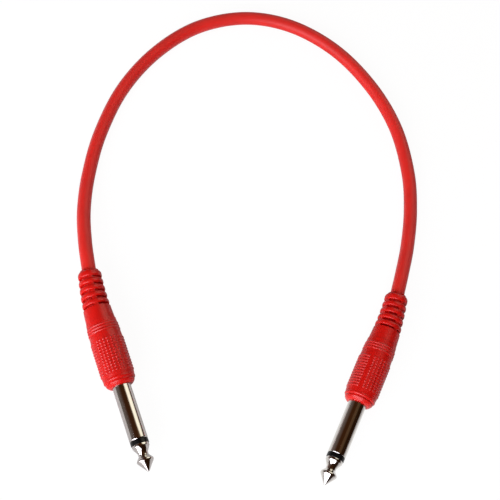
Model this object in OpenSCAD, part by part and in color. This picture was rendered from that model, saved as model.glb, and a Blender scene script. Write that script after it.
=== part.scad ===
// Audio patch lead: a short screened cable with a moulded 6.35 mm mono jack plug on each end.
// The lead lies on a surface in a loop, with both plugs pointing towards -Y.
// The origin is on the surface, in the middle of the two plugs. All sizes are millimetres.

/* [Jack contacts] */
// Diameter of the sleeve contact, the jack's nominal size
sleeve_d = 6.35; // [6.2:0.01:6.5]
// Length of the sleeve in front of the moulding
sleeve_len = 19.6; // [18:0.1:21]
// Bevel on the front edge of the sleeve
sleeve_bevel = 0.25; // [0.1:0.05:0.4]
// Width of the black ring between sleeve and tip
ring_w = 1.5; // [1:0.1:2]
// How far the black ring lies below the sleeve's surface
ring_step = 0.05; // [0.02:0.01:0.1]
// Length of the tip in front of the ring
tip_len = 9.4; // [9:0.1:10]
// Diameter of the tip where it meets the ring
tip_skirt_d = 5.9; // [5.6:0.1:6.1]
// Length of the straight skirt behind the tip's neck
tip_skirt_len = 1.0; // [0.6:0.1:1.4]
// Diameter of the tip's neck
tip_neck_d = 3.5; // [3.2:0.1:4]
// Length of the neck's straight part
tip_neck_len = 1.0; // [0.6:0.1:1.4]
// Largest diameter of the tip's ball
tip_ball_d = 5.8; // [5.5:0.1:6]
// Radius of the rounded edge of the ball
tip_edge_r = 0.8; // [0.5:0.1:1]
// Radius of the rounded point
tip_point_r = 0.5; // [0.3:0.1:0.7]
// Half angle of the cone in front of the ball
tip_cone = 37; // [34:1:40]
// Half angle of the flank behind the ball
tip_flank = 40; // [36:1:45]

/* [Inside the moulding] */
// Diameter of the rod that carries the tip
rod_d = 2.3; // [2:0.1:2.5]
// Outer diameter of the insulating tube round the rod
tube_d = 3.9; // [3.5:0.1:4.2]
// Gap between the moulding's front face and the sleeve's full diameter
root_gap = 0.1; // [0.08:0.01:0.2]
// Diameter of the sleeve's root, where the nose of the moulding grips it
root_d = 5.8; // [5.6:0.1:6]
// Depth of the sleeve's flange behind the front face
flange_depth = 4.0; // [3.5:0.1:4.5]
// Diameter of the sleeve's flange
flange_d = 8.4; // [8:0.1:8.6]
// Thickness of the sleeve's flange
flange_t = 1.2; // [0.9:0.1:1.5]
// Diameter of the neck behind the flange
neck_d = 5.4; // [5.1:0.1:5.6]
// Length of the neck behind the flange
neck_len = 2.4; // [2:0.1:2.8]
// Thickness of the stamped lugs
lug_t = 0.5; // [0.4:0.05:0.6]
// Diameter of the ground lug's ring
ground_ring_d = 8.2; // [8:0.1:8.4]
// Distance from the axis to the outer face of the ground strip
strip_out = 3.9; // [3.8:0.05:4]
// Width of the ground strip
strip_w = 2.6; // [2.2:0.1:2.8]
// Length of the crimp round the screen
crimp_len = 3.4; // [3:0.1:3.6]
// Width of the crimp's open seam
crimp_seam = 1.4; // [1:0.1:1.8]
// Diameter of the rear insulating washer
washer_d = 7.6; // [7.2:0.1:7.8]
// Thickness of the rear insulating washer
washer_t = 1.1; // [0.8:0.1:1.4]
// Diameter of the rod's peened head
head_d = 3.2; // [3:0.1:3.4]
// Thickness of the rod's peened head
head_t = 0.8; // [0.6:0.1:1]
// Width of the tip lug's tab
tab_w = 2.2; // [2:0.1:2.4]
// Length of the step down in the tip lug's tab
tab_drop_len = 2.0; // [1.8:0.1:2.4]
// Length of the tab over the soldered conductor
tab_len = 3.2; // [2.8:0.1:3.6]
// Diameter of the solder joint
solder_d = 2.0; // [1.8:0.1:2.2]
// Diameter of the solder joint's ends
solder_end_d = 1.5; // [1.3:0.1:1.7]
// Length of the solder joint's sloping ends
solder_slope = 0.4; // [0.3:0.1:0.6]
// Diameter of the inner mould
mould_d = 8.8; // [8.7:0.1:9]

/* [Cable] */
// Diameter of the cable
cable_d = 5.0; // [4.6:0.1:5.4]
// Wall of the jacket
jacket_wall = 0.8; // [0.6:0.05:0.9]
// Thickness of the screen
screen_t = 0.35; // [0.25:0.05:0.4]
// Diameter of the inner conductor
conductor_d = 1.0; // [0.8:0.05:1.1]
// Length of bare dielectric in front of the screen
dielectric_len = 3.2; // [2.6:0.1:3.6]

/* [Moulded body] */
// Diameter of the flat front face
nose_d = 7.8; // [7.4:0.1:8.2]
// Length of the rounded nose
nose_len = 1.15; // [0.9:0.05:1.4]
// Diameter at the back of the nose
lip_d = 10.1; // [9.8:0.1:10.4]
// Radius of the nose's rounding
nose_round = 2.6; // [1.8:0.1:4]
// Diameter at the bottom of the groove behind the nose
groove_d = 9.9; // [9.6:0.1:10]
// Length of the groove
groove_len = 0.5; // [0.4:0.05:0.7]
// Diameter of the rounded rim behind the groove
rim_d = 11.1; // [10.8:0.1:11.2]
// Radius of the rim's rounding
rim_round = 0.7; // [0.5:0.05:0.9]
// Angle that the rim's rounding turns down to the smooth band
rim_turn = 25; // [15:1:35]
// Length of the smooth band between the rim and the grip
band_len = 1.75; // [1.4:0.05:2.2]
// Diameter of the body under the grip pattern
body_d = 11.2; // [11:0.1:11.4]
// Smooth length between the grip and the first bead
bead_lead = 2.75; // [2.2:0.05:3.2]
// Smooth length between the last bead and the cone
bead_tail = 2.1; // [1.6:0.1:2.6]
// Diameter of the body in front of the cone
bead_end_d = 10.6; // [10.4:0.1:10.8]
// Step down from the body to the cone, on the diameter
cone_step = 0.25; // [0.15:0.05:0.35]
// Diameter of the cone where the strain relief starts
cone_d = 9.7; // [9.5:0.1:9.9]
// Length of the cone
cone_len = 5.0; // [4.6:0.1:6]

/* [Grip pattern] */
// Rows of dots and ridges along the body
grip_rows = 12; // [10:1:13]
// Distance from row to row
row_pitch = 1.05; // [0.95:0.05:1.1]
// Smooth margin in front of the first row and behind the last one
grip_margin = 0.7; // [0.5:0.05:1]
// Height of the dots and ridges
grip_h = 0.3; // [0.2:0.05:0.35]
// Radius of a dot and of a ridge's rounded back
dot_r = 0.42; // [0.38:0.02:0.46]
// Columns of dots in each dot panel
dot_columns = 6; // [4:1:7]
// Angle from column to column
column_pitch = 13.3; // [12:0.1:14]
// Angle that each ridge panel covers
ridge_span = 80; // [60:1:86]
// Raised beads behind the grip
bead_count = 3; // [2:1:4]
// Distance from bead to bead
bead_pitch = 1.05; // [1:0.05:1.2]
// Radius of a bead's rounded back
bead_r = 0.45; // [0.4:0.05:0.5]
// Height of a bead
bead_h = 0.18; // [0.1:0.02:0.3]

/* [Strain relief] */
// Length of the strain relief behind the cone
boot_len = 14.4; // [13.6:0.1:15.4]
// Angle that the cone and the strain relief bend with the cable
boot_bend = 9; // [6:1:12]
// Slots along the strain relief
slot_rows = 5; // [4:1:5]
// Width of a slot
slot_w = 0.95; // [0.7:0.05:1.1]
// Distance from slot to slot
slot_pitch = 2.65; // [2.5:0.05:2.75]
// Diameter of the first rib, next to the cone
rib_d = 9.7; // [9.6:0.1:10]
// Diameter of the last rib
rear_rib_d = 8.1; // [8:0.1:8.6]
// Rounding of the last rib's rear edge
shoulder_r = 1.2; // [0.8:0.1:1.4]
// Bevel on the edges of the ribs
rib_bevel = 0.2; // [0.1:0.05:0.3]
// Wall of the strain relief under the slots
boot_wall = 0.7; // [0.6:0.05:0.9]
// Width of the webs that part the slots
web_w = 1.9; // [1.6:0.1:2.2]
// How far the webs lie below the ribs
web_step = 0.3; // [0.2:0.05:0.4]
// Turn of the webs from the middles of the grip panels
web_turn = 7; // [0:1:20]

/* [How the lead lies] */
// Left plug, middle of its front face, across
left_x = -41; // [-46:0.5:-36]
// Left plug, middle of its front face, along
left_y = -5.5; // [-10:0.5:0]
// Direction of the left plug, from -Y towards +X
left_yaw = 21; // [16:1:26]
// Turn of the left moulding about its own axis
left_roll = -8; // [-90:1:90]
// Right plug, middle of its front face, across
right_x = 40; // [35:0.5:45]
// Right plug, middle of its front face, along
right_y = -7.5; // [-12:0.5:-3]
// Direction of the right plug, from -Y towards +X
right_yaw = -22; // [-27:1:-17]
// Turn of the right moulding about its own axis
right_roll = 25; // [-90:1:90]

/* [Clearances] */
// Gap between pieces that fit inside one another
fit = 0.05; // [0.03:0.01:0.08]
// Gap between the layers of the cable
layer_gap = 0.04; // [0.03:0.01:0.06]
// Gap between the cable and the strain relief
cable_gap = 0.1; // [0.08:0.01:0.15]

/* [Hidden] */
$fn = 48;

// Overlap of cutters and of welded features, so that no two faces coincide
over = 0.3;

// Stations along a plug's axis: z is 0 at the front face and grows towards the tip
z_ring = sleeve_len;
z_skirt = z_ring + ring_w;
z_point = z_skirt + tip_len;
z_flange = -flange_depth;
z_lug = z_flange - flange_t;
z_lug_back = z_lug - lug_t;
z_neck_end = z_lug - neck_len;
z_washer_back = z_neck_end - washer_t;
z_tip_lug_back = z_washer_back - lug_t;
z_head_back = z_tip_lug_back - head_t;
z_tab_bend = z_head_back - over;
z_tab_low = z_tab_bend - tab_drop_len;
z_tab_end = z_tab_low - tab_len;
z_conductor = z_tab_low - over;
z_dielectric = z_tab_end - 2 * over;
z_screen = z_dielectric - dielectric_len;
z_crimp = z_screen - 2 * over;
z_crimp_back = z_crimp - crimp_len;
z_jacket = z_crimp_back - 2 * over;
z_mould_back = z_jacket + fit;

// Radii of the pieces inside the plug
sleeve_r = sleeve_d / 2;
ball_c = tip_ball_d / 2 - tip_edge_r;
tab_in = head_d / 2 + 2 * fit;
tab_out = tab_in + lug_t;
tip_lug_r = tab_out + over;

// Radii of the cable's layers
cable_r = cable_d / 2;
screen_r = cable_r - jacket_wall - layer_gap;
dielectric_r = screen_r - screen_t - layer_gap;
conductor_r = conductor_d / 2;
crimp_r = screen_r + fit;
tab_low = conductor_r + fit;

// Lengths along the moulded body, measured backwards from the front face
rim_at = nose_len + groove_len + rim_round;
grip_at = rim_at + band_len;
first_row = grip_at + grip_margin;
taper_at = first_row + (grip_rows - 1) * row_pitch + grip_margin;
first_bead = taper_at + bead_lead;
cone_at = first_bead + (bead_count - 1) * bead_pitch + bead_tail;
body_len = cone_at + cone_len;
plug_len = body_len + boot_len;

// Cone and strain relief follow an arc that starts just behind the body
bend_at = cone_at + over;
bend_len = plug_len - bend_at;
boot_radius = bend_len / (boot_bend * PI / 180);
boot_bore = cable_r + cable_gap;
boot_core = boot_bore + boot_wall;

// The body rests on its grip pattern
body_r = body_d / 2;
axis_h = body_r + grip_h;

// A plug: place of the front face, direction, roll of the moulding, side its cable bends to
left = [left_x, left_y, left_yaw, left_roll, 1];
right = [right_x, right_y, right_yaw, right_roll, -1];

// Route of the free cable over the surface, from the left plug to the right one:
// across, along, and height from 0 (lying on the surface) to 1 (level with the plugs' axes)
free_route = [
  [-57.5, 47, 0.85], [-59, 60, 0.4], [-58.5, 75, 0.06], [-55.5, 92.5, 0],
  [-48.5, 112, 0], [-37, 129, 0], [-21.5, 142, 0], [-3, 148, 0],
  [15.5, 146, 0], [33, 136.5, 0], [47, 121.5, 0], [56.5, 104, 0],
  [61, 85, 0], [61.5, 69, 0.06], [59.7, 54, 0.4], [57, 42, 0.85]
];
route_steps = 3;
exit_run = 12;
jacket_sides = 12;
core_sides = 8;

// Points of an arc about c, from angle a0 to a1
function arc(c, r, a0, a1, n = 6) = [for (i = [0:n]) let (a = a0 + (a1 - a0) * i / n)
  c + r * [cos(a), sin(a)]];

// Place on a plug's axis at distance s behind the front face: straight, then along the arc
function bend_angle(s) = max(0, s - bend_at) / bend_len * boot_bend;
function axis_local(s) = s <= bend_at ? [0, -s]
  : [boot_radius * (1 - cos(bend_angle(s))), -bend_at - boot_radius * sin(bend_angle(s))];
function axis_world(p, s) = let (q = axis_local(s), x = p[4] * q[0], z = q[1]) [
  p[0] + x * cos(p[2]) + z * sin(p[2]),
  p[1] + x * sin(p[2]) - z * cos(p[2]),
  axis_h
];

// Direction in which the cable leaves a plug
function exit_dir(p) = let (a = p[2] - p[4] * boot_bend) [-sin(a), cos(a), 0];

// A smooth curve through four neighbouring points, at t between the middle two
function spline(a, b, c, d, t) = 0.5 * (2 * b + (c - a) * t + (2 * a - 5 * b + 4 * c - d) * t * t
  + (3 * b - a - 3 * c + d) * t * t * t);
function on_surface(p) = [p[0], p[1], max(p[2], cable_r)];

// The free route between the two strain reliefs, with the exits' directions continued inwards
left_exit = axis_world(left, plug_len);
right_exit = axis_world(right, plug_len);
knots = concat(
  [left_exit - exit_run * exit_dir(left), left_exit],
  [for (p = free_route) [p[0], p[1], cable_r + p[2] * (axis_h - cable_r)]],
  [right_exit, right_exit - exit_run * exit_dir(right)]
);
free_path = [for (i = [1:len(knots) - 3], k = [0:route_steps - 1])
  on_surface(spline(knots[i - 1], knots[i], knots[i + 1], knots[i + 2], k / route_steps))];

// Stations inside a strain relief, and a layer's whole path from plug to plug
boot_stations = [for (i = [0:2]) bend_at + bend_len * i / 3];
function layer_path(z) = concat(
  [axis_world(left, -z)],
  [for (s = boot_stations) axis_world(left, s)],
  free_path,
  [right_exit],
  [for (i = [2:-1:0]) axis_world(right, boot_stations[i])],
  [axis_world(right, -z)]
);

// A ring of n points square to the path at its point i
function unit(v) = v / norm(v);
function tangent(path, i) =
  unit(path[min(i + 1, len(path) - 1)] - path[max(i - 1, 0)]);
function ring(path, i, r, n) = let (t = tangent(path, i), e = unit(cross([0, 0, 1], t)), u = cross(t, e))
  [for (k = [0:n - 1]) path[i] + r * (cos(360 * k / n) * e + sin(360 * k / n) * u)];
function wall(m, n, first, inward) = [for (i = [0:m - 2], k = [0:n - 1]) let (
  a = first + i * n + k, b = first + i * n + (k + 1) % n, c = b + n, d = a + n)
  each (inward ? [[a, c, d], [a, b, c]] : [[a, d, c], [a, c, b]])];

// A tube along a path: its outer corners lie on the outer circle, its bore clears the inner one
module swept_tube(path, r, bore, n) {
  m = len(path);
  bore_r = bore / cos(180 / n);
  polyhedron(
    points = concat(
      [for (i = [0:m - 1]) each ring(path, i, r, n)],
      [for (i = [0:m - 1]) each ring(path, i, bore_r, n)]
    ),
    faces = concat(
      wall(m, n, 0, false),
      wall(m, n, m * n, true),
      [for (k = [0:n - 1]) [k, (k + 1) % n, m * n + (k + 1) % n, m * n + k]],
      [for (k = [0:n - 1]) let (e = (m - 1) * n)
        [e + (k + 1) % n, e + k, m * n + e + k, m * n + e + (k + 1) % n]]
    )
  );
}

// A solid wire along a path
module swept_wire(path, r, n) {
  m = len(path);
  polyhedron(
    points = [for (i = [0:m - 1]) each ring(path, i, r, n)],
    faces = concat(
      wall(m, n, 0, false),
      [[for (k = [0:n - 1]) k]],
      [[for (k = [n - 1:-1:0]) (m - 1) * n + k]]
    )
  );
}

// Puts a plug, drawn along z with its front face at the origin, where it lies
module at_plug(p) {
  translate([p[0], p[1], axis_h])
    rotate([90, 0, p[2]])
      children();
}

// A cylinder between two stations on the axis
module between(z0, z1, r) {
  translate([0, 0, min(z0, z1)])
    cylinder(h = abs(z1 - z0), r = r);
}

// A stamped shape: outline in z and y, thick across x
module stamped(w) {
  rotate([0, -90, 0])
    linear_extrude(height = w, center = true)
      children();
}

// Tip: skirt, neck, rounded ball and cone, on a rod with a peened head
module tip_contact() {
  run = (ball_c + (tip_edge_r - tip_point_r) * cos(tip_cone)) / sin(tip_cone);
  z_ball = z_point - tip_point_r + (tip_point_r - tip_edge_r) * sin(tip_cone) - run * cos(tip_cone);
  ball = [ball_c, z_ball];
  rise = (ball_c + tip_edge_r * cos(tip_flank) - tip_neck_d / 2) / sin(tip_flank);
  z_neck = z_ball - tip_edge_r * sin(tip_flank) - rise * cos(tip_flank);
  z_skirt_end = z_skirt + tip_skirt_len;
  rotate_extrude()
    polygon(concat(
      [[0, z_skirt], [tip_skirt_d / 2, z_skirt], [tip_skirt_d / 2, z_skirt_end]],
      [[tip_neck_d / 2, z_neck - tip_neck_len], [tip_neck_d / 2, z_neck]],
      arc(ball, tip_edge_r, -tip_flank, tip_cone),
      arc([0, z_point - tip_point_r], tip_point_r, tip_cone, 90)
    ));
  between(z_tip_lug_back, z_skirt + over, rod_d / 2);
  between(z_head_back, z_tip_lug_back, head_d / 2);
}

// Black ring in front of the sleeve, with the tube that runs back through it
module tip_insulator() {
  difference() {
    union() {
      between(z_ring, z_skirt, sleeve_r - ring_step);
      between(z_neck_end, z_ring + over, tube_d / 2);
    }
    between(z_neck_end - over, z_skirt + over, rod_d / 2 + fit);
  }
}

// Sleeve with a bevelled front edge, a narrower root and a flange that lock in the moulding,
// and a riveting neck
module sleeve_contact() {
  bore = tube_d / 2 + fit;
  rotate_extrude()
    polygon([
      [bore, z_ring], [sleeve_r - sleeve_bevel, z_ring], [sleeve_r, z_ring - sleeve_bevel],
      [sleeve_r, root_gap], [root_d / 2, root_gap], [root_d / 2, z_flange],
      [flange_d / 2, z_flange], [flange_d / 2, z_lug],
      [neck_d / 2, z_lug], [neck_d / 2, z_neck_end], [bore, z_neck_end]
    ]);
}

// Outline of the ground strip from the ring down to the crimp, g larger all round
module strip_outline(g = 0) {
  polygon([
    [z_lug, -strip_out - g], [z_crimp + tab_drop_len, -strip_out - g],
    [z_crimp, -crimp_r - lug_t - g], [z_crimp - over - g, -crimp_r - lug_t - g],
    [z_crimp - over - g, -crimp_r + g], [z_crimp, -crimp_r + g],
    [z_crimp + tab_drop_len, -strip_out + lug_t + g], [z_lug, -strip_out + lug_t + g]
  ]);
}

// Ground lug: ring on the sleeve's neck, strip along the plug, crimp round the screen
module ground_lug() {
  difference() {
    between(z_lug_back, z_lug, ground_ring_d / 2);
    between(z_lug_back - over, z_lug + over, neck_d / 2 + fit);
  }
  stamped(strip_w)
    strip_outline();
  difference() {
    between(z_crimp_back, z_crimp, crimp_r + lug_t);
    between(z_crimp_back - over, z_crimp + over, crimp_r);
    translate([-crimp_seam / 2, 0, z_crimp_back - over])
      cube([crimp_seam, 2 * crimp_r, crimp_len + 2 * over]);
  }
}

// Washer that keeps the tip lug off the sleeve's neck
module rear_insulator() {
  difference() {
    between(z_washer_back, z_neck_end, washer_d / 2);
    between(z_washer_back - over, z_neck_end + over, rod_d / 2 + fit);
  }
}

// Outline of the tip lug's tab, stepped down to the conductor, g larger all round
module tab_outline(g = 0) {
  polygon([
    [z_washer_back, tab_out + g], [z_tab_bend, tab_out + g],
    [z_tab_low, tab_low + lug_t + g], [z_tab_end - g, tab_low + lug_t + g],
    [z_tab_end - g, tab_low - g], [z_tab_low, tab_low - g],
    [z_tab_bend, tab_in - g], [z_washer_back, tab_in - g]
  ]);
}

// Tip lug: washer under the rod's head, with a tab over the inner conductor
module tip_lug() {
  difference() {
    union() {
      between(z_tip_lug_back, z_washer_back, tip_lug_r);
      stamped(tab_w)
        tab_outline();
    }
    between(z_tip_lug_back - over, z_washer_back + over, rod_d / 2 + fit);
  }
}

// Solder under the tab, round the conductor
module tip_solder() {
  r = solder_d / 2;
  front = z_conductor;
  back = z_tab_end + over;
  difference() {
    rotate_extrude()
      polygon([
        [0, front], [solder_end_d / 2, front], [r, front - solder_slope],
        [r, back + solder_slope], [solder_end_d / 2, back], [0, back]
      ]);
    translate([-r - over, tab_low, back - over])
      cube([2 * r + 2 * over, r, front - back + 2 * over]);
    between(back - over, front + over, conductor_r + 2 * layer_gap);
  }
}

// Hard block moulded round the terminals, with a seat for each of them
module inner_mould() {
  difference() {
    between(z_mould_back, z_lug_back - fit, mould_d / 2);
    between(z_washer_back - fit, z_lug_back + over, washer_d / 2 + fit);
    between(z_tab_bend, z_neck_end, tip_lug_r + fit);
    between(z_dielectric - fit, z_neck_end, solder_d / 2 + fit);
    between(z_screen - over, z_tab_end, dielectric_r + fit);
    between(z_mould_back - over, z_screen + fit, crimp_r + lug_t + fit);
    stamped(tab_w + 2 * fit)
      tab_outline(fit);
    stamped(strip_w + 2 * fit)
      strip_outline(fit);
  }
}

// Half section of the moulded body: nose, groove, rim, band, grip bed and beads
module body_section() {
  nose = [nose_d / 2, 0];
  lip = [lip_d / 2, -nose_len];
  inward = [-nose_len, nose_d / 2 - lip_d / 2] / norm(lip - nose);
  nose_c = (nose + lip) / 2 + inward * sqrt(nose_round * nose_round - pow(norm(lip - nose) / 2, 2));
  from_nose = nose - nose_c;
  from_lip = lip - nose_c;
  rim_c = [rim_d / 2 - rim_round, -rim_at];
  bead_slope = (body_r - bead_end_d / 2) / (cone_at - taper_at);
  polygon(concat(
    [[0, 0]],
    arc(nose_c, nose_round, atan2(from_nose[1], from_nose[0]), atan2(from_lip[1], from_lip[0])),
    [[groove_d / 2, -nose_len - (lip_d - groove_d) / 2]],
    arc(rim_c, rim_round, acos((groove_d / 2 - rim_c[0]) / rim_round), -rim_turn),
    [[body_r, -grip_at], [body_r, -taper_at], [bead_end_d / 2, -cone_at], [0, -cone_at]]
  ));
  for (i = [0:bead_count - 1]) {
    z = first_bead + i * bead_pitch;
    translate([body_r - bead_slope * (z - taper_at) + bead_h - bead_r, -z])
      circle(r = bead_r);
  }
}

// Cone between the body and the strain relief, leaning half as far as the bend at its end
module cone() {
  rotate([0, -bend_angle(body_len) / 2, 0])
    rotate_extrude()
      polygon([
        [0, over], [(bead_end_d - cone_step) / 2, over],
        [cone_d / 2, -cone_len], [0, -cone_len]
      ]);
}

// Dots in columns on one side of the body
module dot_panel() {
  for (row = [0:grip_rows - 1], c = [0:dot_columns - 1])
    rotate([0, 0, (c - (dot_columns - 1) / 2) * column_pitch])
      translate([0, axis_h - dot_r, -first_row - row * row_pitch])
        sphere(r = dot_r);
}

// Ridges across one side of the body
module ridge_panel() {
  for (row = [0:grip_rows - 1])
    translate([0, 0, -first_row - row * row_pitch])
      rotate([0, 0, -ridge_span / 2])
        rotate_extrude(angle = ridge_span)
          translate([axis_h - dot_r, 0])
            circle(r = dot_r);
}

// Puts a shape on the strain relief's arc, s behind the body
module on_boot(s) {
  q = axis_local(body_len + s);
  translate([q[0], 0, q[1]])
    rotate([0, -bend_angle(body_len + s), 0])
      children();
}

// Outer radius of the strain relief, s behind the body
function rib_radius(s) = (rib_d + (rear_rib_d - rib_d) * s / boot_len) / 2;

// One rib as a ring with bevelled edges, its middle at s behind the body
module rib(s, w) {
  r0 = rib_radius(s - w / 2);
  r1 = rib_radius(s + w / 2);
  on_boot(s)
    rotate_extrude()
      polygon([
        [boot_core - over, w / 2], [r0 - rib_bevel, w / 2], [r0, w / 2 - rib_bevel],
        [r1, rib_bevel - w / 2], [r1 - rib_bevel, -w / 2], [boot_core - over, -w / 2]
      ]);
}

// The last rib, with its rear edge rounded down towards the cable
module rear_rib(s, w) {
  r0 = rib_radius(s - w / 2);
  r1 = rib_radius(s + w / 2);
  on_boot(s)
    rotate_extrude()
      polygon(concat(
        [[boot_core - over, w / 2], [r0 - rib_bevel, w / 2], [r0, w / 2 - rib_bevel]],
        arc([r1 - shoulder_r, shoulder_r - w / 2], shoulder_r, 0, -90),
        [[boot_core - over, -w / 2]]
      ));
}

// Four webs that part a row of slots, s behind the body, turned by roll
module webs(s, roll) {
  out = rib_radius(s) - web_step;
  on_boot(s)
    for (k = [0:3])
      rotate([0, 0, 90 * k + roll])
        translate([boot_core - over, -web_w / 2, -slot_w / 2 - over])
          cube([out - boot_core + over, web_w, slot_w + 2 * over]);
}

// Slotted strain relief: a bent tube with ribs and webs, turned by roll
module strain_relief(roll) {
  rib_w = slot_pitch - slot_w;
  last = (slot_rows - 1) * slot_pitch + slot_w;
  rear_w = boot_len - last - over;
  translate([boot_radius, 0, -bend_at])
    rotate([90, 0, 0])
      rotate([0, 0, 180])
        rotate_extrude(angle = boot_bend)
          translate([boot_radius, 0])
            difference() {
              circle(r = boot_core);
              circle(r = boot_bore);
            }
  for (i = [0:slot_rows - 1])
    webs(i * slot_pitch + slot_w / 2, roll);
  for (i = [0:slot_rows - 2])
    rib(i * slot_pitch + slot_w + rib_w / 2, rib_w);
  rear_rib(last + rear_w / 2, rear_w);
}

// Soft body of the plug: barrel with grip panels, cone and slotted strain relief
module moulding(p) {
  mirror([p[4] < 0 ? 1 : 0, 0, 0]) {
    difference() {
      union() {
        rotate_extrude()
          body_section();
        translate([0, 0, -cone_at])
          cone();
        rotate([0, 0, -p[3] * p[4]])
          for (side = [0, 180])
            rotate([0, 0, side]) {
              dot_panel();
              ridge_panel();
            }
      }
      between(z_flange - over, over, root_d / 2 + fit);
      between(z_lug_back - over, z_flange + fit, flange_d / 2 + fit);
      between(z_mould_back - fit, z_lug_back, mould_d / 2 + fit);
      between(-body_len - over, z_mould_back, boot_bore + cable_gap);
    }
    strain_relief(-p[3] * p[4] - web_turn * p[4]);
  }
}

module left_tip() {
  color("silver") at_plug(left) tip_contact();
}
module left_tip_insulator() {
  color("black") at_plug(left) tip_insulator();
}
module left_sleeve() {
  color("silver") at_plug(left) sleeve_contact();
}
module left_ground_lug() {
  color("lightgray") at_plug(left) ground_lug();
}
module left_rear_insulator() {
  color("black") at_plug(left) rear_insulator();
}
module left_tip_lug() {
  color("gold") at_plug(left) tip_lug();
}
module left_tip_solder() {
  color("gray") at_plug(left) tip_solder();
}
module left_inner_mould() {
  color("ivory") at_plug(left) inner_mould();
}
module left_overmould() {
  color("red") at_plug(left) moulding(left);
}
module right_tip() {
  color("silver") at_plug(right) tip_contact();
}
module right_tip_insulator() {
  color("black") at_plug(right) tip_insulator();
}
module right_sleeve() {
  color("silver") at_plug(right) sleeve_contact();
}
module right_ground_lug() {
  color("lightgray") at_plug(right) ground_lug();
}
module right_rear_insulator() {
  color("black") at_plug(right) rear_insulator();
}
module right_tip_lug() {
  color("gold") at_plug(right) tip_lug();
}
module right_tip_solder() {
  color("gray") at_plug(right) tip_solder();
}
module right_inner_mould() {
  color("ivory") at_plug(right) inner_mould();
}
module right_overmould() {
  color("red") at_plug(right) moulding(right);
}
module cable_jacket() {
  color("red") swept_tube(layer_path(z_jacket), cable_r, screen_r + layer_gap, jacket_sides);
}
module cable_screen() {
  color("peru") swept_tube(layer_path(z_screen), screen_r, dielectric_r + layer_gap, core_sides);
}
module cable_dielectric() {
  color("white") swept_tube(layer_path(z_dielectric), dielectric_r, conductor_r + layer_gap, core_sides);
}
module cable_conductor() {
  color("peru") swept_wire(layer_path(z_conductor), conductor_r, core_sides);
}

left_tip();
left_tip_insulator();
left_sleeve();
left_ground_lug();
left_rear_insulator();
left_tip_lug();
left_tip_solder();
left_inner_mould();
left_overmould();
right_tip();
right_tip_insulator();
right_sleeve();
right_ground_lug();
right_rear_insulator();
right_tip_lug();
right_tip_solder();
right_inner_mould();
right_overmould();
cable_jacket();
cable_screen();
cable_dielectric();
cable_conductor();
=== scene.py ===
# %% [markdown]
# # A red audio patch lead
# The object is a short screened cable with a moulded 6.35 mm jack plug on each end, lying in a
# loop on a white surface. The CAD model is the frame: it gives every piece its place, in metres.
# This lesson puts finished surfaces over the frame's solids and lights them like the photograph.

# %% Load the frame
import bpy
import numpy as np
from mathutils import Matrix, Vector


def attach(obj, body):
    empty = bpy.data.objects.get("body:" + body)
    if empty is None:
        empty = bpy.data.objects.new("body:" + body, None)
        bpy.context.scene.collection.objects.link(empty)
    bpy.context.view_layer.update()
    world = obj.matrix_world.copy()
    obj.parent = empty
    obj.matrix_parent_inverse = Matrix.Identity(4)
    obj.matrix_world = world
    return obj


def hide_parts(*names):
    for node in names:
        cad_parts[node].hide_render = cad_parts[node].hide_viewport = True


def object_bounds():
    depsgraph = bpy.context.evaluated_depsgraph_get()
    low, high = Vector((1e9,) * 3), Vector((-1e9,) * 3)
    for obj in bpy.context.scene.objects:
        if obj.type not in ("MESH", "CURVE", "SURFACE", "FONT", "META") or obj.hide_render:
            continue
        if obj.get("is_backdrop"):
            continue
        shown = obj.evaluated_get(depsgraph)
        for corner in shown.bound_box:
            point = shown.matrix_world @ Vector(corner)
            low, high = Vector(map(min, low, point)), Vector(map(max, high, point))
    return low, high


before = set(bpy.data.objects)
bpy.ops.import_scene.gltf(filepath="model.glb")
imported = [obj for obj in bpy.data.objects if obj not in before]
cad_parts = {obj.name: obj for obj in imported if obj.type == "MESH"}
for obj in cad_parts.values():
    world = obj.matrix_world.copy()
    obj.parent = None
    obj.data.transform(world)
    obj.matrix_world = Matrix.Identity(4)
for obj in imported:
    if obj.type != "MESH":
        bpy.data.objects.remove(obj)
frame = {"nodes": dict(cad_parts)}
nodes = frame["nodes"]
cad_box = [list(corner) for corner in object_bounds()]
MM = 0.001
print("frame:", len(nodes), "solids, box", np.round(np.ptp(cad_box, axis=0) / MM, 1), "mm")

# %% [markdown]
# ## The camera
# The picture was taken from above and slightly in front, with the camera tilted sideways: the
# loop leans to the left in it. The camera's place came from fitting the plugs and the cable's
# edges, so it is given as a place, a point to look at and a roll about the line of sight.

# %% The camera
camera_place = np.array([-0.03223, -0.11306, 0.38794])
camera_target = np.array([0.00199, 0.04993, 0.0])
camera_roll = np.radians(14.45)


def unit(v):
    """A vector divided by its length, along the last axis."""
    v = np.asarray(v, float)
    return v / np.linalg.norm(v, axis=-1, keepdims=True)


def look_at(place, target, roll):
    """Turning matrix of a camera: its columns are right, up and backwards, with right and up
    turned by roll about the line of sight."""
    ahead = unit(target - place)
    level = unit(np.cross(ahead, [0, 0, 1]))
    upright = np.cross(level, ahead)
    right = np.cos(roll) * level + np.sin(roll) * upright
    up = np.cos(roll) * upright - np.sin(roll) * level
    matrix = np.eye(4)
    matrix[:3, :3] = np.stack([right, up, -ahead], axis=1)
    matrix[:3, 3] = place
    return matrix


camera_data = bpy.data.cameras.new("photo_camera")
camera_data.sensor_width = 36
camera_data.sensor_fit = "HORIZONTAL"
camera_data.angle = np.radians(24.42)
camera_data.clip_start = 0.01
camera = bpy.data.objects.new("photo_camera", camera_data)
camera.matrix_world = look_at(camera_place, camera_target, camera_roll).T.tolist()
bpy.context.collection.objects.link(camera)
bpy.context.scene.camera = camera
print("camera:", round(float(np.linalg.norm(camera_target - camera_place)) / MM), "mm away")

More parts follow.
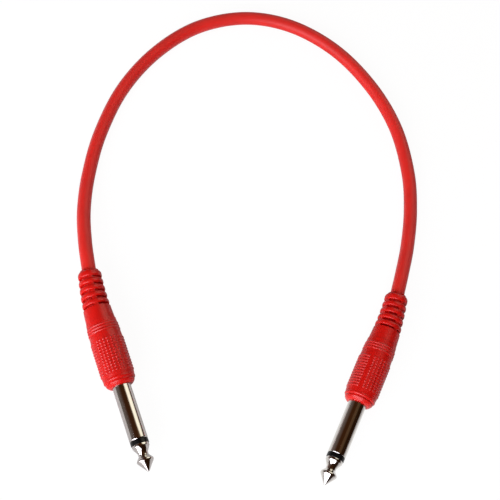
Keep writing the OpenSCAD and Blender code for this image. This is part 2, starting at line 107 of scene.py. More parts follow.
# %% [markdown]
# ## Where the plugs lie
# Both plugs come from one mould, so one drawing serves twice. It is drawn along its own axis:
# z is 0 at the moulding's front face and grows towards the tip, and y points up. Each plug has a
# place, a yaw on the table, a roll about its own axis and a side to which its cable bends.

# %% Where the plugs lie
AXIS_H = 5.9
PLUGS = {
    "left": dict(x=-41.0, y=-5.5, yaw=np.radians(21), roll=np.radians(-8), side=1),
    "right": dict(x=40.0, y=-7.5, yaw=np.radians(-22), roll=np.radians(25), side=-1),
}
BEND_AT, BEND_LEN, BEND = 24.3, 19.1, np.radians(9)
PLUG_LEN = BEND_AT + BEND_LEN
BEND_R = BEND_LEN / BEND


def to_table(plug, local):
    """Local x, y, z in millimetres to the frame in metres: the drawing is laid on its side, with
    -z along +Y, turned by the yaw and moved to the plug's place."""
    x, y, z = np.moveaxis(np.asarray(local, float), -1, 0)
    c, s = np.cos(plug["yaw"]), np.sin(plug["yaw"])
    return np.stack([plug["x"] + x * c + z * s, plug["y"] + x * s - z * c, AXIS_H + y], -1) * MM


def spine(plug, s):
    """Centre and sideways direction at s behind the front face: straight to BEND_AT, then along a
    circle of radius BEND_R towards the plug's side."""
    s = np.asarray(s, float)
    a = np.clip(s - BEND_AT, 0, None) / BEND_R
    straight = np.minimum(s, BEND_AT)
    x = plug["side"] * BEND_R * (1 - np.cos(a))
    z = -straight - BEND_R * np.sin(a)
    zero = np.zeros_like(s)
    centre = np.stack([x, zero, z], -1)
    sideways = np.stack([np.cos(a), zero, plug["side"] * np.sin(a)], -1)
    return centre, sideways


def exit_of(plug):
    """The point where the cable leaves the strain relief, and the direction it leaves in."""
    centre, _ = spine(plug, PLUG_LEN)
    a = plug["yaw"] - plug["side"] * BEND
    return to_table(plug, centre) / MM, np.array([-np.sin(a), np.cos(a), 0])


for name, plug in PLUGS.items():
    print(name, "plug: the cable leaves at", np.round(exit_of(plug)[0], 1), "mm")

# %% [markdown]
# ## Surfaces from grids
# Every new piece here is a grid of points: rows along the piece, columns round it. A grid that
# closes in both directions is a ring-shaped skin with an outside and a bore, so it needs no caps.
# A row of radius 0 would be many points in one place, so such rows become one point each.

# %% Surfaces from grids
def skin(name, grid, poles=False, sharp=None):
    """Mesh of a grid of points (rows, columns, 3) whose columns close. With poles the first and
    last row are single points, and otherwise the rows close too. Each face is one grid cell."""
    rows, cols = grid.shape[:2]
    nxt = (np.arange(cols) + 1) % cols
    if poles:
        points = np.concatenate([grid[0, :1], grid[1:-1].reshape(-1, 3), grid[-1, :1]])
        ring = 1 + np.arange((rows - 2) * cols).reshape(rows - 2, cols)
        first = np.stack([np.zeros(cols, int), ring[0, nxt], ring[0]], 1)
        last = np.stack([ring[-1], ring[-1, nxt], np.full(cols, len(points) - 1)], 1)
        quads = np.stack([ring[:-1], ring[:-1][:, nxt], ring[1:][:, nxt], ring[1:]], -1)
        faces = first.tolist() + quads.reshape(-1, 4).tolist() + last.tolist()
    else:
        points = grid.reshape(-1, 3)
        ring = np.arange(rows * cols).reshape(rows, cols)
        below = np.roll(ring, -1, axis=0)
        faces = np.stack([ring, ring[:, nxt], below[:, nxt], below], -1).reshape(-1, 4).tolist()
    mesh = bpy.data.meshes.new(name)
    mesh.from_pydata(points.tolist(), [], faces)
    mesh.shade_smooth()
    if sharp:
        mesh.set_sharp_from_angle(angle=np.radians(sharp))
    mesh.validate()
    piece = bpy.data.objects.new(name, mesh)
    bpy.context.collection.objects.link(piece)
    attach(piece, "root")
    return piece


def about_axis(plug, z, r, columns):
    """Grid of a turned piece: each profile point (r, z) carried round the plug's axis, with the
    columns counted from the top towards +x."""
    angle = np.linspace(0, 2 * np.pi, columns, endpoint=False)
    x = np.outer(r, np.sin(angle))
    y = np.outer(r, np.cos(angle))
    return to_table(plug, np.stack([x, y, np.broadcast_to(np.asarray(z)[:, None], x.shape)], -1))


# %% [markdown]
# ## The cable
# The cable is a fixed length of red jacket that leaves each strain relief level with the plug's
# axis, comes down to the table within a few centimetres and lies there in one loop. Its route is
# a smooth curve through the frame's own points. A curve object would do, but a grid along the
# route also gives the bore, so that the jacket is a real tube round the screen.

# %% The cable's route
CABLE_R, BORE_R, JACKET_AT = 2.5, 1.7, 23.9
free_route = np.array([
    [-57.5, 47, 0.85], [-59, 60, 0.4], [-58.5, 75, 0.06], [-55.5, 92.5, 0],
    [-48.5, 112, 0], [-37, 129, 0], [-21.5, 142, 0], [-3, 148, 0],
    [15.5, 146, 0], [33, 136.5, 0], [47, 121.5, 0], [56.5, 104, 0],
    [61, 85, 0], [61.5, 69, 0.06], [59.7, 54, 0.4], [57, 42, 0.85],
])


def smooth_route(knots, steps):
    """Catmull-Rom curve: between each two knots a cubic whose slope at a knot is half the way
    from the knot before it to the knot after it, kept at least a radius above the table."""
    a, b, c, d = knots[:-3, None], knots[1:-2, None], knots[2:-1, None], knots[3:, None]
    t = (np.arange(steps) / steps)[None, :, None]
    curve = 0.5 * (2 * b + (c - a) * t + (2 * a - 5 * b + 4 * c - d) * t ** 2
                   + (3 * b - a - 3 * c + d) * t ** 3)
    curve = curve.reshape(-1, 3)
    curve[:, 2] = np.maximum(curve[:, 2], CABLE_R)
    return np.concatenate([curve, knots[-2:-1]])


(exit_l, dir_l), (exit_r, dir_r) = exit_of(PLUGS["left"]), exit_of(PLUGS["right"])
lifted = np.column_stack([free_route[:, :2], CABLE_R + free_route[:, 2] * (AXIS_H - CABLE_R)])
knots = np.vstack([exit_l - 12 * dir_l, exit_l, lifted, exit_r, exit_r - 12 * dir_r])
free = smooth_route(knots, 24)
inside = np.linspace(JACKET_AT, PLUG_LEN, 24)[:-1]
run_in = to_table(PLUGS["left"], spine(PLUGS["left"], inside)[0]) / MM
run_out = to_table(PLUGS["right"], spine(PLUGS["right"], inside[::-1])[0]) / MM
route = np.vstack([run_in, free, run_out])

# %% The cable's jacket
def along_route(route, radius, columns):
    """Grid of a tube: at each station a circle square to the route, its columns counted from the
    level direction beside the route."""
    ahead = unit(np.gradient(route, axis=0))
    beside = unit(np.cross(ahead, [0, 0, 1]))
    above = np.cross(beside, ahead)
    angle = np.linspace(0, 2 * np.pi, columns, endpoint=False)
    ring = (np.cos(angle)[None, :, None] * beside[:, None]
            + np.sin(angle)[None, :, None] * above[:, None])
    return route[:, None] + radius * ring


outside = along_route(route, CABLE_R, 40)
bore = along_route(route[::6], BORE_R, 40)
jacket = skin("cable", np.concatenate([outside, bore[::-1]])[:, ::-1] * MM, sharp=50)
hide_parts("cable_jacket")
print("cable:", len(jacket.data.polygons), "faces")

# %% [markdown]
# ## The moulded body
# The soft red body is a turned shape with a relief on it: two panels of dots, two panels of
# cross ridges, three beads, and a bent strain relief whose ribs are parted by slots and webs.
# All of that is one height over angle and length, so the whole moulding is one grid: a radius
# for each row and column. Rows stand closer where the relief is fine.

# %% Profile of the moulded body
def arc(centre, radius, start, end, count):
    """Points of a circle (r, z) about a centre, from a start to an end angle in degrees."""
    a = np.radians(np.linspace(start, end, count))
    return np.stack([centre[0] + radius * np.cos(a), centre[1] + radius * np.sin(a)], 1)


def arc_between(start, end, radius, count):
    """Points of a circle of a radius from start to end, bulging away from the axis: its centre lies
    on the line that halves the chord at right angles, on the axis' side."""
    start, end = np.array(start), np.array(end)
    chord = end - start
    half = np.linalg.norm(chord) / 2
    inward = np.array([chord[1], -chord[0]]) / (2 * half)
    centre = (start + end) / 2 + inward * np.sqrt(radius ** 2 - half ** 2)
    turns = [np.degrees(np.arctan2(z, r)) for r, z in (start - centre, end - centre)]
    return arc(centre, radius, *turns, count)


# Sizes of the moulding in millimetres, with places counted back from its front face
BODY_R, GRIP_TOP, DOT_R, FOOT, RUBBED = 5.66, 5.9, 0.42, 0.2, 0.15
FIRST_ROW, ROW_PITCH, ROWS, COLUMN_PITCH = 4.8, 1.05, 12, np.radians(13.3)
GRIP_FROM, GRIP_TO, BAR_HALF = 4.2, 17.0, np.radians(40)
SEAM_H, SEAM_W, SEAM_FADE, SEAM_AT = 0.07, 0.13, 0.4, np.radians(25.5)
BEADS, BEAD_R, BEAD_H = (19.8, 20.85, 21.9), 0.45, 0.18
BODY_END, BOOT_LEN, BOOT_LAST = 29.0, 14.4, 14.1
SLOT_W, SLOT_PITCH, SLOTS, WEB_TURN = 0.95, 2.65, 5, np.radians(7)
BOOT_CORE, WEB_W, WEB_STEP, SHOULDER = 3.3, 1.9, 0.3, 1.2
RIB_D, REAR_RIB_D, RIB_ROUND, RIB_DROP = 9.7, 8.1, 0.7, 0.36

nose = arc_between((3.9, 0.0), (5.05, -1.15), 2.6, 10)
groove = [[4.95, -1.25]]
rim = arc((4.85, -2.35), 0.7, 81.8, -25, 16)
rear = [[BODY_R, -4.1], [BODY_R, -17.05], [5.3, -23.98], [5.16, -24.02], [4.85, -BODY_END]]
barrel_r, barrel_s = np.vstack([nose, groove, rim, rear]).T * [[1], [-1]]


def barrel(s):
    """Plain radius of the body: a rounded nose, a groove, a rounded rim, a smooth band that rises
    to the grip's bed, a slow taper with a small step, and the cone."""
    return np.interp(s, barrel_s, barrel_r)


def rib_radius(s):
    """Outer radius of the strain relief, s behind the body: a straight taper."""
    return (RIB_D + (REAR_RIB_D - RIB_D) * s / BOOT_LEN) / 2


def soft_max(a, b, k):
    """The larger of two heights, with the corner between them rounded over a width k."""
    h = np.clip(0.5 + 0.5 * (a - b) / k, 0, 1)
    return b + (a - b) * h + k * h * (1 - h)


print("profile:", len(barrel_s), "points, last rib", round(2 * rib_radius(BOOT_LAST), 2), "mm")

# %% Relief of the moulded body
def wrapped(angle):
    """An angle brought between -pi and pi."""
    return (angle + np.pi) % (2 * np.pi) - np.pi


def grip_relief(s, angle):
    """Radius of the grip: dots are balls of radius DOT_R whose tops reach GRIP_TOP, in columns
    about the panels' middles; ridges are rounded bars across the two panels between them."""
    def ball(distance2):
        """Radius of a ball's surface, at a squared distance from the line through its middle."""
        return GRIP_TOP - DOT_R + np.sqrt(np.clip(DOT_R ** 2 - distance2, 0, None))

    row = np.clip(np.round((s - FIRST_ROW) / ROW_PITCH), 0, ROWS - 1)
    ds = s - FIRST_ROW - row * ROW_PITCH
    from_dots = (angle + np.pi / 2) % np.pi - np.pi / 2
    column = np.clip(np.round(from_dots / COLUMN_PITCH - 0.5), -3, 2) + 0.5
    across = (from_dots - column * COLUMN_PITCH) * BODY_R
    from_bars = angle % np.pi - np.pi / 2
    past_end = np.clip(np.abs(from_bars) * BODY_R - BAR_HALF * BODY_R + DOT_R, 0, None)
    return np.maximum(ball(ds ** 2 + across ** 2), ball(ds ** 2 + past_end ** 2))


def bead_relief(s):
    """Radius of the three beads: half-round rings standing BEAD_H above the taper."""
    tops = [np.where(np.abs(s - b) < BEAD_R, barrel(b) + BEAD_H - BEAD_R
                     + np.sqrt(np.clip(BEAD_R ** 2 - (s - b) ** 2, 0, None)), 0) for b in BEADS]
    return np.max(tops, axis=0)


def parting_line(s, angle):
    """Height of the fine seam that the mould's halves leave along the grip, on two sides."""
    off = (angle - SEAM_AT + np.pi / 2) % np.pi - np.pi / 2
    along = np.clip(np.minimum(s - GRIP_FROM, GRIP_TO - s) / SEAM_FADE, 0, 1)
    return SEAM_H * along * np.clip(1 - np.abs(off) * BODY_R / SEAM_W, 0, 1)


print("relief:", ROWS, "rows of dots and ridges,", len(BEADS), "beads")

# %% Strain relief
def boot_relief(s, angle):
    """Radius of the strain relief, s behind the body: ribs whose edges are quarters of an ellipse,
    RIB_ROUND long and RIB_DROP deep, slots down to the core between them, four webs across each
    slot, and a rounded shoulder at the end."""
    turn = np.clip(np.floor(s / SLOT_PITCH), 0, SLOTS - 1)
    in_turn = s - turn * SLOT_PITCH
    rib = rib_radius(s)
    edge = np.minimum(in_turn - SLOT_W, np.where(turn < SLOTS - 1, SLOT_PITCH - in_turn, 9.0))
    inside = np.clip(1 - edge / RIB_ROUND, 0, 1)
    top = rib - RIB_DROP * (1 - np.sqrt(1 - inside ** 2))
    drop = np.clip(s - (BOOT_LAST - SHOULDER), 0, SHOULDER)
    top = top - SHOULDER + np.sqrt(np.clip(SHOULDER ** 2 - drop ** 2, 0, None))
    quarter = (angle - WEB_TURN + np.pi / 4) % (np.pi / 2) - np.pi / 4
    web = np.abs(np.sin(quarter)) * rib < WEB_W / 2
    floor = np.where(web, rib - WEB_STEP, BOOT_CORE)
    return np.where(s > BOOT_LAST, BOOT_CORE, np.where(in_turn < SLOT_W, floor, top))


def boot_rows():
    """Stations along the strain relief: both sides of every slot wall, and steps between."""
    tiny = 0.012
    rows = []
    for k in range(SLOTS):
        start = k * SLOT_PITCH
        end = start + SLOT_PITCH if k < SLOTS - 1 else BOOT_LAST
        rows += [start + tiny, start + 0.3, start + 0.6, start + SLOT_W - tiny]
        steps = RIB_ROUND * np.array([tiny, 0.08, 0.2, 0.38, 0.65, 1.0])
        rows += [*(start + SLOT_W + steps), (start + SLOT_W + end) / 2, *(end - steps)]
    shoulder = BOOT_LAST - SHOULDER + SHOULDER * np.sin(np.linspace(0.05, 1, 14) * np.pi / 2)
    rows = [r for r in rows if r < BOOT_LAST - SHOULDER] + list(shoulder[:-1]) + [BOOT_LAST - 0.001]
    return np.array(sorted(rows) + [BOOT_LAST + tiny, BOOT_LEN])


print("strain relief:", len(boot_rows()), "rows")

# %% Both mouldings
COLUMNS = 288
front_s = np.concatenate([barrel_s[:-len(rear)], [1.4, 1.55, 2.9, 3.3, 3.7, 4.0]])
grip_s = np.arange(FIRST_ROW - 0.6, FIRST_ROW + (ROWS - 1) * ROW_PITCH + 0.61, ROW_PITCH / 10)
bead_s = np.arange(BEADS[0] - 0.6, BEADS[-1] + 0.61, 0.09)
rear_s = np.array([17.05, 17.6, 18.4, 23, 23.5, 23.9, 23.98, 24.0, 24.02, 24.1, 25, 26, 27, 28,
                   28.6, 28.9, 28.985])
body_s = np.sort(np.concatenate([front_s, grip_s, bead_s, rear_s]))
bore_s, bore_r = np.array([
    [43.39, 2.6], [36, 2.6], [30, 2.6], [24.31, 2.6], [24.3, 2.7], [23.91, 2.7], [23.9, 4.45],
    [5.71, 4.45], [5.7, 4.25], [3.96, 4.25], [3.95, 2.95], [2.0, 2.95], [0.0, 2.95],
]).T


def moulding(name, plug):
    """The whole moulding: rows run back along the outside and forward again through the bore,
    each point lying its radius away from the bent spine. The attribute raised goes from 0 on the
    plain body to 1 where the relief stands RUBBED above it."""
    angle = np.linspace(0, 2 * np.pi, COLUMNS, endpoint=False)
    turned = wrapped(angle - plug["roll"])[None]
    s = body_s[:, None]
    outer = soft_max(barrel(s) + 0 * turned, grip_relief(s, turned), FOOT)
    outer = np.where((s > GRIP_FROM) & (s < GRIP_TO), outer, barrel(s))
    outer = np.maximum(outer, bead_relief(s)) + parting_line(s, turned)
    boot_s = boot_rows()[:, None]
    boot = boot_relief(boot_s, turned)
    radius = np.concatenate([outer, boot, np.repeat(bore_r[:, None], COLUMNS, 1)])
    stations = np.concatenate([body_s, BODY_END + boot_s[:, 0], bore_s])
    centre, sideways = spine(plug, stations)
    upward = np.array([0.0, 1.0, 0.0])
    ray = (np.sin(angle)[None, :, None] * sideways[:, None]
           + np.cos(angle)[None, :, None] * upward)
    local = centre[:, None] + radius[..., None] * ray
    body = skin(name, to_table(plug, local), sharp=55)
    raised = np.zeros(radius.shape)
    raised[:len(body_s)] = np.clip((outer - barrel(s)) / RUBBED, 0, 1)
    body.data.attributes.new("raised", "FLOAT", "POINT").data.foreach_set("value", raised.ravel())
    return body


bodies = {}
for side, plug in PLUGS.items():
    bodies[side] = moulding(f"{side}_moulding", plug)
    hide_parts(f"{side}_overmould")
    print(side, "moulding:", 2 * len(bodies[side].data.polygons), "triangles")

# %% [markdown]
# ## The contacts
# The sleeve, the black ring and the tip are turned parts, so each is a profile carried round the
# plug's axis. The frame's solids are right already, but their edges are plain: here they get the
# small roundings that catch the light on the real turned and plated metal, above all on the
# sleeve's end, which shines as a white crescent.

# %% Profiles of the contacts
Z_RING, Z_SKIRT, Z_POINT, SLEEVE_R, SLEEVE_ROUND = 19.6, 21.1, 30.5, 3.175, 0.42
CONE, FLANK, BALL_C, EDGE_R, POINT_R, NECK_R = 37.0, 40.0, 2.1, 0.8, 0.5, 1.75
cone, flank = np.radians(CONE), np.radians(FLANK)
cone_run = (BALL_C + (EDGE_R - POINT_R) * np.cos(cone)) / np.sin(cone)
z_ball = Z_POINT - POINT_R + (POINT_R - EDGE_R) * np.sin(cone) - cone_run * np.cos(cone)
neck_rise = (BALL_C + EDGE_R * np.cos(flank) - NECK_R) / np.sin(flank)
z_neck = z_ball - EDGE_R * np.sin(flank) - neck_rise * np.cos(flank)
z_waist = z_neck - 1.0

tip_profile = np.concatenate([
    [[0, Z_POINT]], arc((0, Z_POINT - POINT_R), POINT_R, 82, CONE, 7),
    arc((BALL_C, z_ball), EDGE_R, CONE, -FLANK, 18),
    [[NECK_R + 0.12, z_neck + 0.14], [NECK_R, z_neck], [NECK_R, z_waist]],
    [[2.86, 22.12], [2.92, 22.07], [2.95, 21.98], [2.95, 21.2], [2.9, Z_SKIRT], [1.15, Z_SKIRT]],
    [[1.15, -9.2], [1.6, -9.2], [1.6, -9.8], [1.4, -10.0], [0, -10.0]],
])
ring_profile = np.array([
    [1.95, Z_RING + 0.3], [1.95, Z_RING], [1.95, 0], [1.95, -7.6], [1.2, -7.6], [1.2, Z_SKIRT],
    [3.06, Z_SKIRT], [3.125, Z_SKIRT - 0.06], [3.125, Z_RING + 0.06], [3.06, Z_RING],
])
sleeve_profile = np.concatenate([
    [[2.0, Z_RING], [2.7, Z_RING]],
    arc((SLEEVE_R - SLEEVE_ROUND, Z_RING - SLEEVE_ROUND), SLEEVE_ROUND, 90, 0, 11),
    [[SLEEVE_R, z] for z in (15, 10, 5, 0.1)],
    [[2.9, 0.1], [2.9, -4], [4.2, -4], [4.2, -5.2], [2.7, -5.2], [2.7, -7.6], [2.0, -7.6]],
])
print("contacts: tip", len(tip_profile), "ring", len(ring_profile), "sleeve", len(sleeve_profile))

# %% Contacts of both plugs
contacts = {}
for side, plug in PLUGS.items():
    for part, profile, poles in (("tip", tip_profile, True), ("ring", ring_profile, False),
                                 ("sleeve", sleeve_profile, False)):
        grid = about_axis(plug, profile[:, 1], profile[:, 0], 96)
        contacts[side, part] = skin(f"{side}_{part}_contact", grid, poles=poles, sharp=32)
    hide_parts(f"{side}_tip")
    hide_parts(f"{side}_tip_insulator")
    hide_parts(f"{side}_sleeve")
    print(side, "contacts:", [len(contacts[side, p].data.polygons) for p in ("tip", "ring", "sleeve")])

# %% [markdown]
# ## Finishes
# Each finish is a small node graph on a Principled shader. Numbers that are the same all over go
# straight on the shader's sockets. What varies, such as the clouding of the red compound or the
# haze on the plated metal, comes from procedural textures on Object coordinates, and in one case
# from an attribute of the mesh.

# %% Helpers for finishes
class Finish:
    """A material with a Principled shader, and short ways to add and join its nodes."""

    def __init__(self, name, **sockets):
        self.material = bpy.data.materials.new(name)
        self.material.use_nodes = True
        self.tree = self.material.node_tree
        self.shader = self.tree.nodes["Principled BSDF"]
        for socket, value in sockets.items():
            self.shader.inputs[socket.replace("_", " ")].default_value = value

    def node(self, kind, links=(), **settings):
        """Adds a node; a setting named in capitals fills an input socket, others are options."""
        made = self.tree.nodes.new("ShaderNode" + kind)
        for key, value in settings.items():
            if key[0].isupper():
                made.inputs[key.replace("_", " ")].default_value = value
            else:
                setattr(made, key, value)
        for socket, source in dict(links).items():
            self.tree.links.new(source, made.inputs[socket])
        return made

    def place(self, scale=(1, 1, 1)):
        """Object coordinates in millimetres, stretched by scale."""
        where = self.node("TexCoord").outputs["Object"]
        return self.node("Mapping", {"Vector": where},
                         Scale=[1000 * k for k in scale]).outputs["Vector"]

    def noise(self, where, scale, detail=3.0):
        """Soft random clouds, scale of them to a millimetre."""
        return self.node("TexNoise", {"Vector": where}, Scale=scale, Detail=detail).outputs["Fac"]

    def ramp(self, value, *stops):
        """Colours by value: each stop is (place, colour)."""
        made = self.node("ValToRGB", {"Fac": value})
        for element, (at, colour) in zip(made.color_ramp.elements, stops):
            element.position, element.color = at, (*colour, 1)
        return made.outputs["Color"]

    def spread(self, value, low, high):
        """A value from 0 to 1 brought between low and high."""
        return self.node("MapRange", {"Value": value}, To_Min=low, To_Max=high).outputs["Result"]

    def bump(self, height, strength, depth_mm):
        """Fine relief for the shader's normal."""
        made = self.node("Bump", {"Height": height}, Strength=strength, Distance=depth_mm * MM)
        return made.outputs["Normal"]

    def wire(self, **sources):
        """Joins node outputs to the shader's sockets."""
        for socket, source in sources.items():
            self.tree.links.new(source, self.shader.inputs[socket.replace("_", " ")])
        return self


def coat(piece, finish):
    """Gives a piece one finish on all its faces."""
    piece.data.materials.clear()
    piece.data.materials.append(finish.material)


print("finishes: helpers ready")

# %% [markdown]
# ## Red moulding compound
# The body is soft PVC: a saturated red, slightly clouded, with a satin skin that the spark-eroded
# mould left very finely grained. Red light goes a millimetre or two into it, which softens the
# slots. Handling has rubbed the dots, ridges and beads, so what stands out of the body reflects
# more, and more broadly, than the smooth parts: the attribute "raised" says where.

# %% Red moulding compound
moulded_red = Finish("red_moulding_compound", IOR=1.5, Coat_Weight=0.14, Coat_Roughness=0.15,
                     Subsurface_Weight=0.3, Subsurface_Radius=(1.0, 0.15, 0.1),
                     Subsurface_Scale=2.0 * MM)
where = moulded_red.place()
clouds = moulded_red.noise(where, 0.35, 4.0)
haze = moulded_red.noise(where, 1.6, 3.0)
grain = moulded_red.noise(where, 14.0, 2.0)
raised = moulded_red.node("Attribute", attribute_name="raised").outputs["Fac"]
moulded_red.wire(
    Base_Color=moulded_red.ramp(clouds, (0.3, (0.53, 0.005, 0.003)), (0.7, (0.60, 0.007, 0.004))),
    Roughness=moulded_red.node("Math", {0: moulded_red.spread(haze, 0.32, 0.42),
                                        1: moulded_red.spread(raised, 0.0, 0.1)}).outputs[0],
    Specular_IOR_Level=moulded_red.spread(raised, 0.26, 0.62),
    Normal=moulded_red.bump(grain, 0.1, 0.01),
)
for piece in bodies.values():
    coat(piece, moulded_red)
print("finish:", moulded_red.material.name)

# %% [markdown]
# ## Red cable jacket
# The jacket is extruded soft PVC, smoother and duller than the mouldings and as translucent. A slow
# clouding and a very fine grain vary its colour and shine. The dull bloom that such a jacket gets
# pales its edges where light falls on them, and the shader's sheen is the plain way to give that.

# %% Red cable jacket
jacket_red = Finish("red_cable_jacket", IOR=1.5, Specular_IOR_Level=0.36, Subsurface_Weight=0.3,
                    Subsurface_Radius=(1.0, 0.15, 0.1), Subsurface_Scale=1.5 * MM,
                    Sheen_Weight=0.25, Sheen_Roughness=0.45)
where = jacket_red.place()
jacket_red.wire(
    Base_Color=jacket_red.ramp(jacket_red.noise(where, 0.12, 4.0),
                               (0.3, (0.63, 0.012, 0.007)), (0.7, (0.70, 0.015, 0.009))),
    Roughness=jacket_red.spread(jacket_red.noise(where, 0.8, 3.0), 0.44, 0.54),
    Normal=jacket_red.bump(jacket_red.noise(where, 9.0, 2.0), 0.08, 0.01),
)
coat(jacket, jacket_red)
print("finish:", jacket_red.material.name)

# %% [markdown]
# ## Nickel plating
# The contacts are turned brass with bright nickel on it. Turning leaves rings that are too fine to
# see one by one; they only blur reflections a little. A slow noise adds the faint haze of handling.

# %% Nickel plating
nickel = Finish("nickel_plating", Metallic=1.0)
where = nickel.place()
haze = nickel.noise(where, 0.5, 5.0)
nickel.wire(
    Base_Color=nickel.ramp(haze, (0.25, (0.58, 0.555, 0.525)), (0.8, (0.66, 0.635, 0.60))),
    Roughness=nickel.spread(haze, 0.09, 0.14),
    Normal=nickel.bump(nickel.noise(where, 1.5, 2.0), 0.02, 0.004),
)
for (side, part), piece in contacts.items():
    if part != "ring":
        coat(piece, nickel)
print("finish:", nickel.material.name)

# %% [markdown]
# ## The other finishes
# The black ring is hard plastic with a dull shine. The pieces inside the moulding are not seen, but
# they are part of the object, so each gets the finish of its own material too.

# %% Black plastic, tin, brass, solder, ivory, copper and white
def clouded(name, dark, light, scale, rough, **sockets):
    """A plain technical finish: a colour that drifts between dark and light, a roughness that
    drifts with it, and a fine grain."""
    finish = Finish(name, **sockets)
    where = finish.place()
    cloud = finish.noise(where, scale, 4.0)
    return finish.wire(
        Base_Color=finish.ramp(cloud, (0.3, dark), (0.7, light)),
        Roughness=finish.spread(cloud, *rough),
        Normal=finish.bump(finish.noise(where, 12 * scale, 2.0), 0.15, 0.01),
    )


black = clouded("black_hard_plastic", (0.002, 0.002, 0.002), (0.005, 0.005, 0.005), 0.9, (0.2, 0.3),
                Specular_IOR_Level=0.25)
inner = {
    "ground_lug": clouded("tinned_lug", (0.55, 0.55, 0.56), (0.68, 0.68, 0.69), 1.2, (0.25, 0.4),
                          Metallic=1.0),
    "rear_insulator": black,
    "tip_lug": clouded("brass_lug", (0.70, 0.50, 0.20), (0.80, 0.60, 0.28), 1.2, (0.22, 0.36),
                       Metallic=1.0),
    "tip_solder": clouded("solder_joint", (0.42, 0.42, 0.44), (0.58, 0.58, 0.60), 2.0, (0.3, 0.5),
                          Metallic=1.0),
    "inner_mould": clouded("ivory_mould", (0.70, 0.64, 0.50), (0.78, 0.72, 0.58), 0.6, (0.4, 0.55)),
}
copper = clouded("copper_wire", (0.72, 0.34, 0.20), (0.84, 0.45, 0.29), 2.5, (0.25, 0.4),
                 Metallic=1.0)
white = clouded("white_insulation", (0.72, 0.71, 0.68), (0.80, 0.79, 0.76), 0.8, (0.4, 0.5))
for side in PLUGS:
    coat(contacts[side, "ring"], black)
    for part, finish in inner.items():
        coat(nodes[f"{side}_{part}"], finish)
for layer, finish in (("screen", copper), ("conductor", copper), ("dielectric", white)):
    coat(nodes[f"cable_{layer}"], finish)
print("finishes inside:", sorted(f.material.name for f in inner.values()))

# %% [markdown]
# ## Floor and light
# The photograph has a pure white ground. Here a large pale floor takes the lamps' light, and most
# of what the camera sees of it is plain white, so that only a faint shadow is left. The plated
# metal mirrors the ground as a pale grey, so rays by way of a mirror or glass get a smaller part
# of white. The edges of the right sleeve melt into the white, so round that sleeve they get most
# of it.

# %% The floor
def white_share(tree, to_camera, to_mirrors):
    """How much plain white a ray is shown: one part for the camera's own rays, another for rays by
    way of a mirror or glass, which may be a node's output, and none for the light that falls on the
    object."""
    path = tree.nodes.new("ShaderNodeLightPath")
    share = tree.nodes.new("ShaderNodeValue").outputs[0]
    for ray, part in (("Camera", to_camera), ("Glossy", to_mirrors), ("Transmission", to_mirrors)):
        add = tree.nodes.new("ShaderNodeMath")
        add.operation = "MULTIPLY_ADD"
        if isinstance(part, bpy.types.NodeSocket):
            tree.links.new(part, add.inputs[1])
        else:
            add.inputs[1].default_value = part
        tree.links.new(path.outputs[f"Is {ray} Ray"], add.inputs[0])
        tree.links.new(share, add.inputs[2])
        share = add.outputs[0]
    return share


# Parts of the white that mirrors show: in general, and in a glare about a point of the right plug
MIRRORED, GLARE = 0.12, 0.95
# Where that point lies along the plug, how far the glare is full and how far it reaches, in mm
GLARE_AT, GLARE_R, GLARE_END = 15.0, 18.0, 32.0
floor_mesh = bpy.data.meshes.new("floor")
floor_mesh.from_pydata([(-3, -3, 0), (3, -3, 0), (3, 3, 0), (-3, 3, 0)], [], [(0, 1, 2, 3)])
floor = bpy.data.objects.new("floor", floor_mesh)
bpy.context.collection.objects.link(floor)
floor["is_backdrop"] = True
ground = Finish("pale_floor", Base_Color=(0.64, 0.64, 0.64, 1), Roughness=0.9,
                Specular_IOR_Level=0.0)
plain_white = ground.node("Emission", Color=(1, 1, 1, 1), Strength=1.07)
away = ground.node("VectorMath", {0: ground.place()}, operation="DISTANCE")
away.inputs[1].default_value = to_table(PLUGS["right"], [0, -AXIS_H, GLARE_AT]) / MM
glare = ground.node("MapRange", {"Value": away.outputs["Value"]}, From_Min=GLARE_R,
                    From_Max=GLARE_END, To_Min=GLARE, To_Max=MIRRORED)
mixed = ground.node("MixShader", {0: white_share(ground.tree, 0.88, glare.outputs["Result"]),
                                  1: ground.shader.outputs[0], 2: plain_white.outputs[0]})
ground.tree.links.new(mixed.outputs[0], ground.tree.nodes["Material Output"].inputs["Surface"])
coat(floor, ground)
print("floor:", tuple(floor.dimensions))

# %% [markdown]
# ## Lamps and room
# The lamps are soft boxes: a wide one overhead and a cool one from the front left. The front box is
# what the tips mirror as white facets and the grip as pink lights. The overhead box would be a hard
# square on the plated sleeves, so it is left out of reflections. What they mirror instead is the
# room, given by direction: brown overhead with a paler patch, a pale glow low on the left and a
# window on the right. A white backdrop stands along the horizon, for views from lower down.

# %% The lamps
def soft_lamp(name, place, target, width, height, watts, colour, mirrored):
    """A soft box at a place, facing a target, that reflections show or leave out."""
    lamp = bpy.data.lights.new(name, "AREA")
    lamp.shape = "RECTANGLE"
    lamp.size, lamp.size_y, lamp.energy, lamp.color = width, height, watts, colour
    made = bpy.data.objects.new(name, lamp)
    made.matrix_world = look_at(np.array(place, float), np.array(target, float), 0.0).T.tolist()
    made.visible_glossy = mirrored
    bpy.context.collection.objects.link(made)
    return made


table_middle = (0, 0.05, 0)
soft_lamp("sky_box", (0.0, 0.06, 1.2), table_middle, 1.2, 1.2, 3.5, (1.0, 1.0, 1.0), False)
soft_lamp("key_box", (-0.375, -0.51, 0.33), table_middle, 0.84, 0.60, 9.0, (0.99, 0.97, 1.06), True)

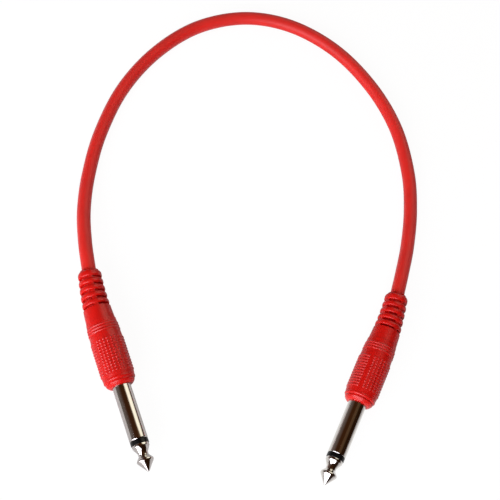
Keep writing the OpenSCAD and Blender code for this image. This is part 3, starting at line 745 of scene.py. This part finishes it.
# %% The room
class Room:
    """The world's light by direction: a sum of coloured lobes on one Background node."""

    def __init__(self, name, colour):
        world = bpy.data.worlds.new(name)
        bpy.context.scene.world = world
        world.use_nodes = True
        self.tree = world.node_tree
        self.way = self.tree.nodes.new("ShaderNodeTexCoord").outputs["Generated"]
        base = self.tree.nodes.new("ShaderNodeRGB")
        base.outputs[0].default_value = (*colour, 1)
        self.total = base.outputs[0]

    def lobe(self, direction, start, full, colour, soft=True):
        """Adds colour times a weight that rises from 0 to 1 while the cosine of the angle to the
        direction goes from start to full."""
        dot = self.tree.nodes.new("ShaderNodeVectorMath")
        dot.operation = "DOT_PRODUCT"
        dot.inputs[1].default_value = unit(direction)
        self.tree.links.new(self.way, dot.inputs[0])
        weight = self.tree.nodes.new("ShaderNodeMapRange")
        weight.interpolation_type = "SMOOTHSTEP" if soft else "LINEAR"
        weight.inputs["From Min"].default_value = start
        weight.inputs["From Max"].default_value = full
        self.tree.links.new(dot.outputs["Value"], weight.inputs["Value"])
        add = self.tree.nodes.new("ShaderNodeVectorMath")
        add.operation = "MULTIPLY_ADD"
        add.inputs[1].default_value = colour
        self.tree.links.new(weight.outputs["Result"], add.inputs[0])
        self.tree.links.new(self.total, add.inputs[2])
        self.total = add.outputs["Vector"]

    def hang(self, low, high):
        """Puts the sum on the Background node, with a white backdrop along the horizon: its weight
        falls from 1 to 0 while the upward part of the direction goes from low to high."""
        nodes, links = self.tree.nodes, self.tree.links
        links.new(self.total, nodes["Background"].inputs["Color"])
        up = nodes.new("ShaderNodeSeparateXYZ")
        links.new(self.way, up.inputs[0])
        strip = nodes.new("ShaderNodeMapRange")
        for socket, value in (("From Min", high), ("From Max", low)):
            strip.inputs[socket].default_value = value
        links.new(up.outputs["Z"], strip.inputs["Value"])
        share = nodes.new("ShaderNodeMath")
        share.operation = "MULTIPLY"
        links.new(strip.outputs["Result"], share.inputs[0])
        links.new(white_share(self.tree, 1.0, MIRRORED), share.inputs[1])
        white = nodes.new("ShaderNodeBackground")
        white.inputs["Color"].default_value = (1, 1, 1, 1)
        mixed = nodes.new("ShaderNodeMixShader")
        for socket, source in enumerate((share, nodes["Background"], white)):
            links.new(source.outputs[0], mixed.inputs[socket])
        links.new(mixed.outputs[0], nodes["World Output"].inputs["Surface"])


room = Room("studio_room", (0.026, 0.009, 0.003))
room.lobe((-0.3, 0.3, 0.9), 0.5, 0.95, (0.030, 0.009, 0.002))
room.lobe((-0.95, 0.2, -0.25), 0.3, 0.95, (0.17, 0.155, 0.145), soft=False)
room.lobe((0.39, 0.14, 0.91), 0.927, 0.99, (0.065, 0.040, 0.020))
room.lobe((0.48, 0.66, 0.58), 0.87, 0.965, (1.62, 1.56, 1.30))
room.hang(0.08, 0.15)
bpy.context.scene.view_settings.view_transform = "Standard"
print("room:", len(room.tree.nodes), "nodes")

# %% [markdown]
# ## Sizes
# The finished surfaces fill the same box as the frame's solids. Both boxes are written down, so
# that they can be compared.

# %% Sizes and finish
seen_box = [list(corner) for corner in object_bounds()]
for name, box in (("frame", cad_box), ("scene", seen_box)):
    print(name, "size:", np.round(np.ptp(box, axis=0) / MM, 2), "mm")
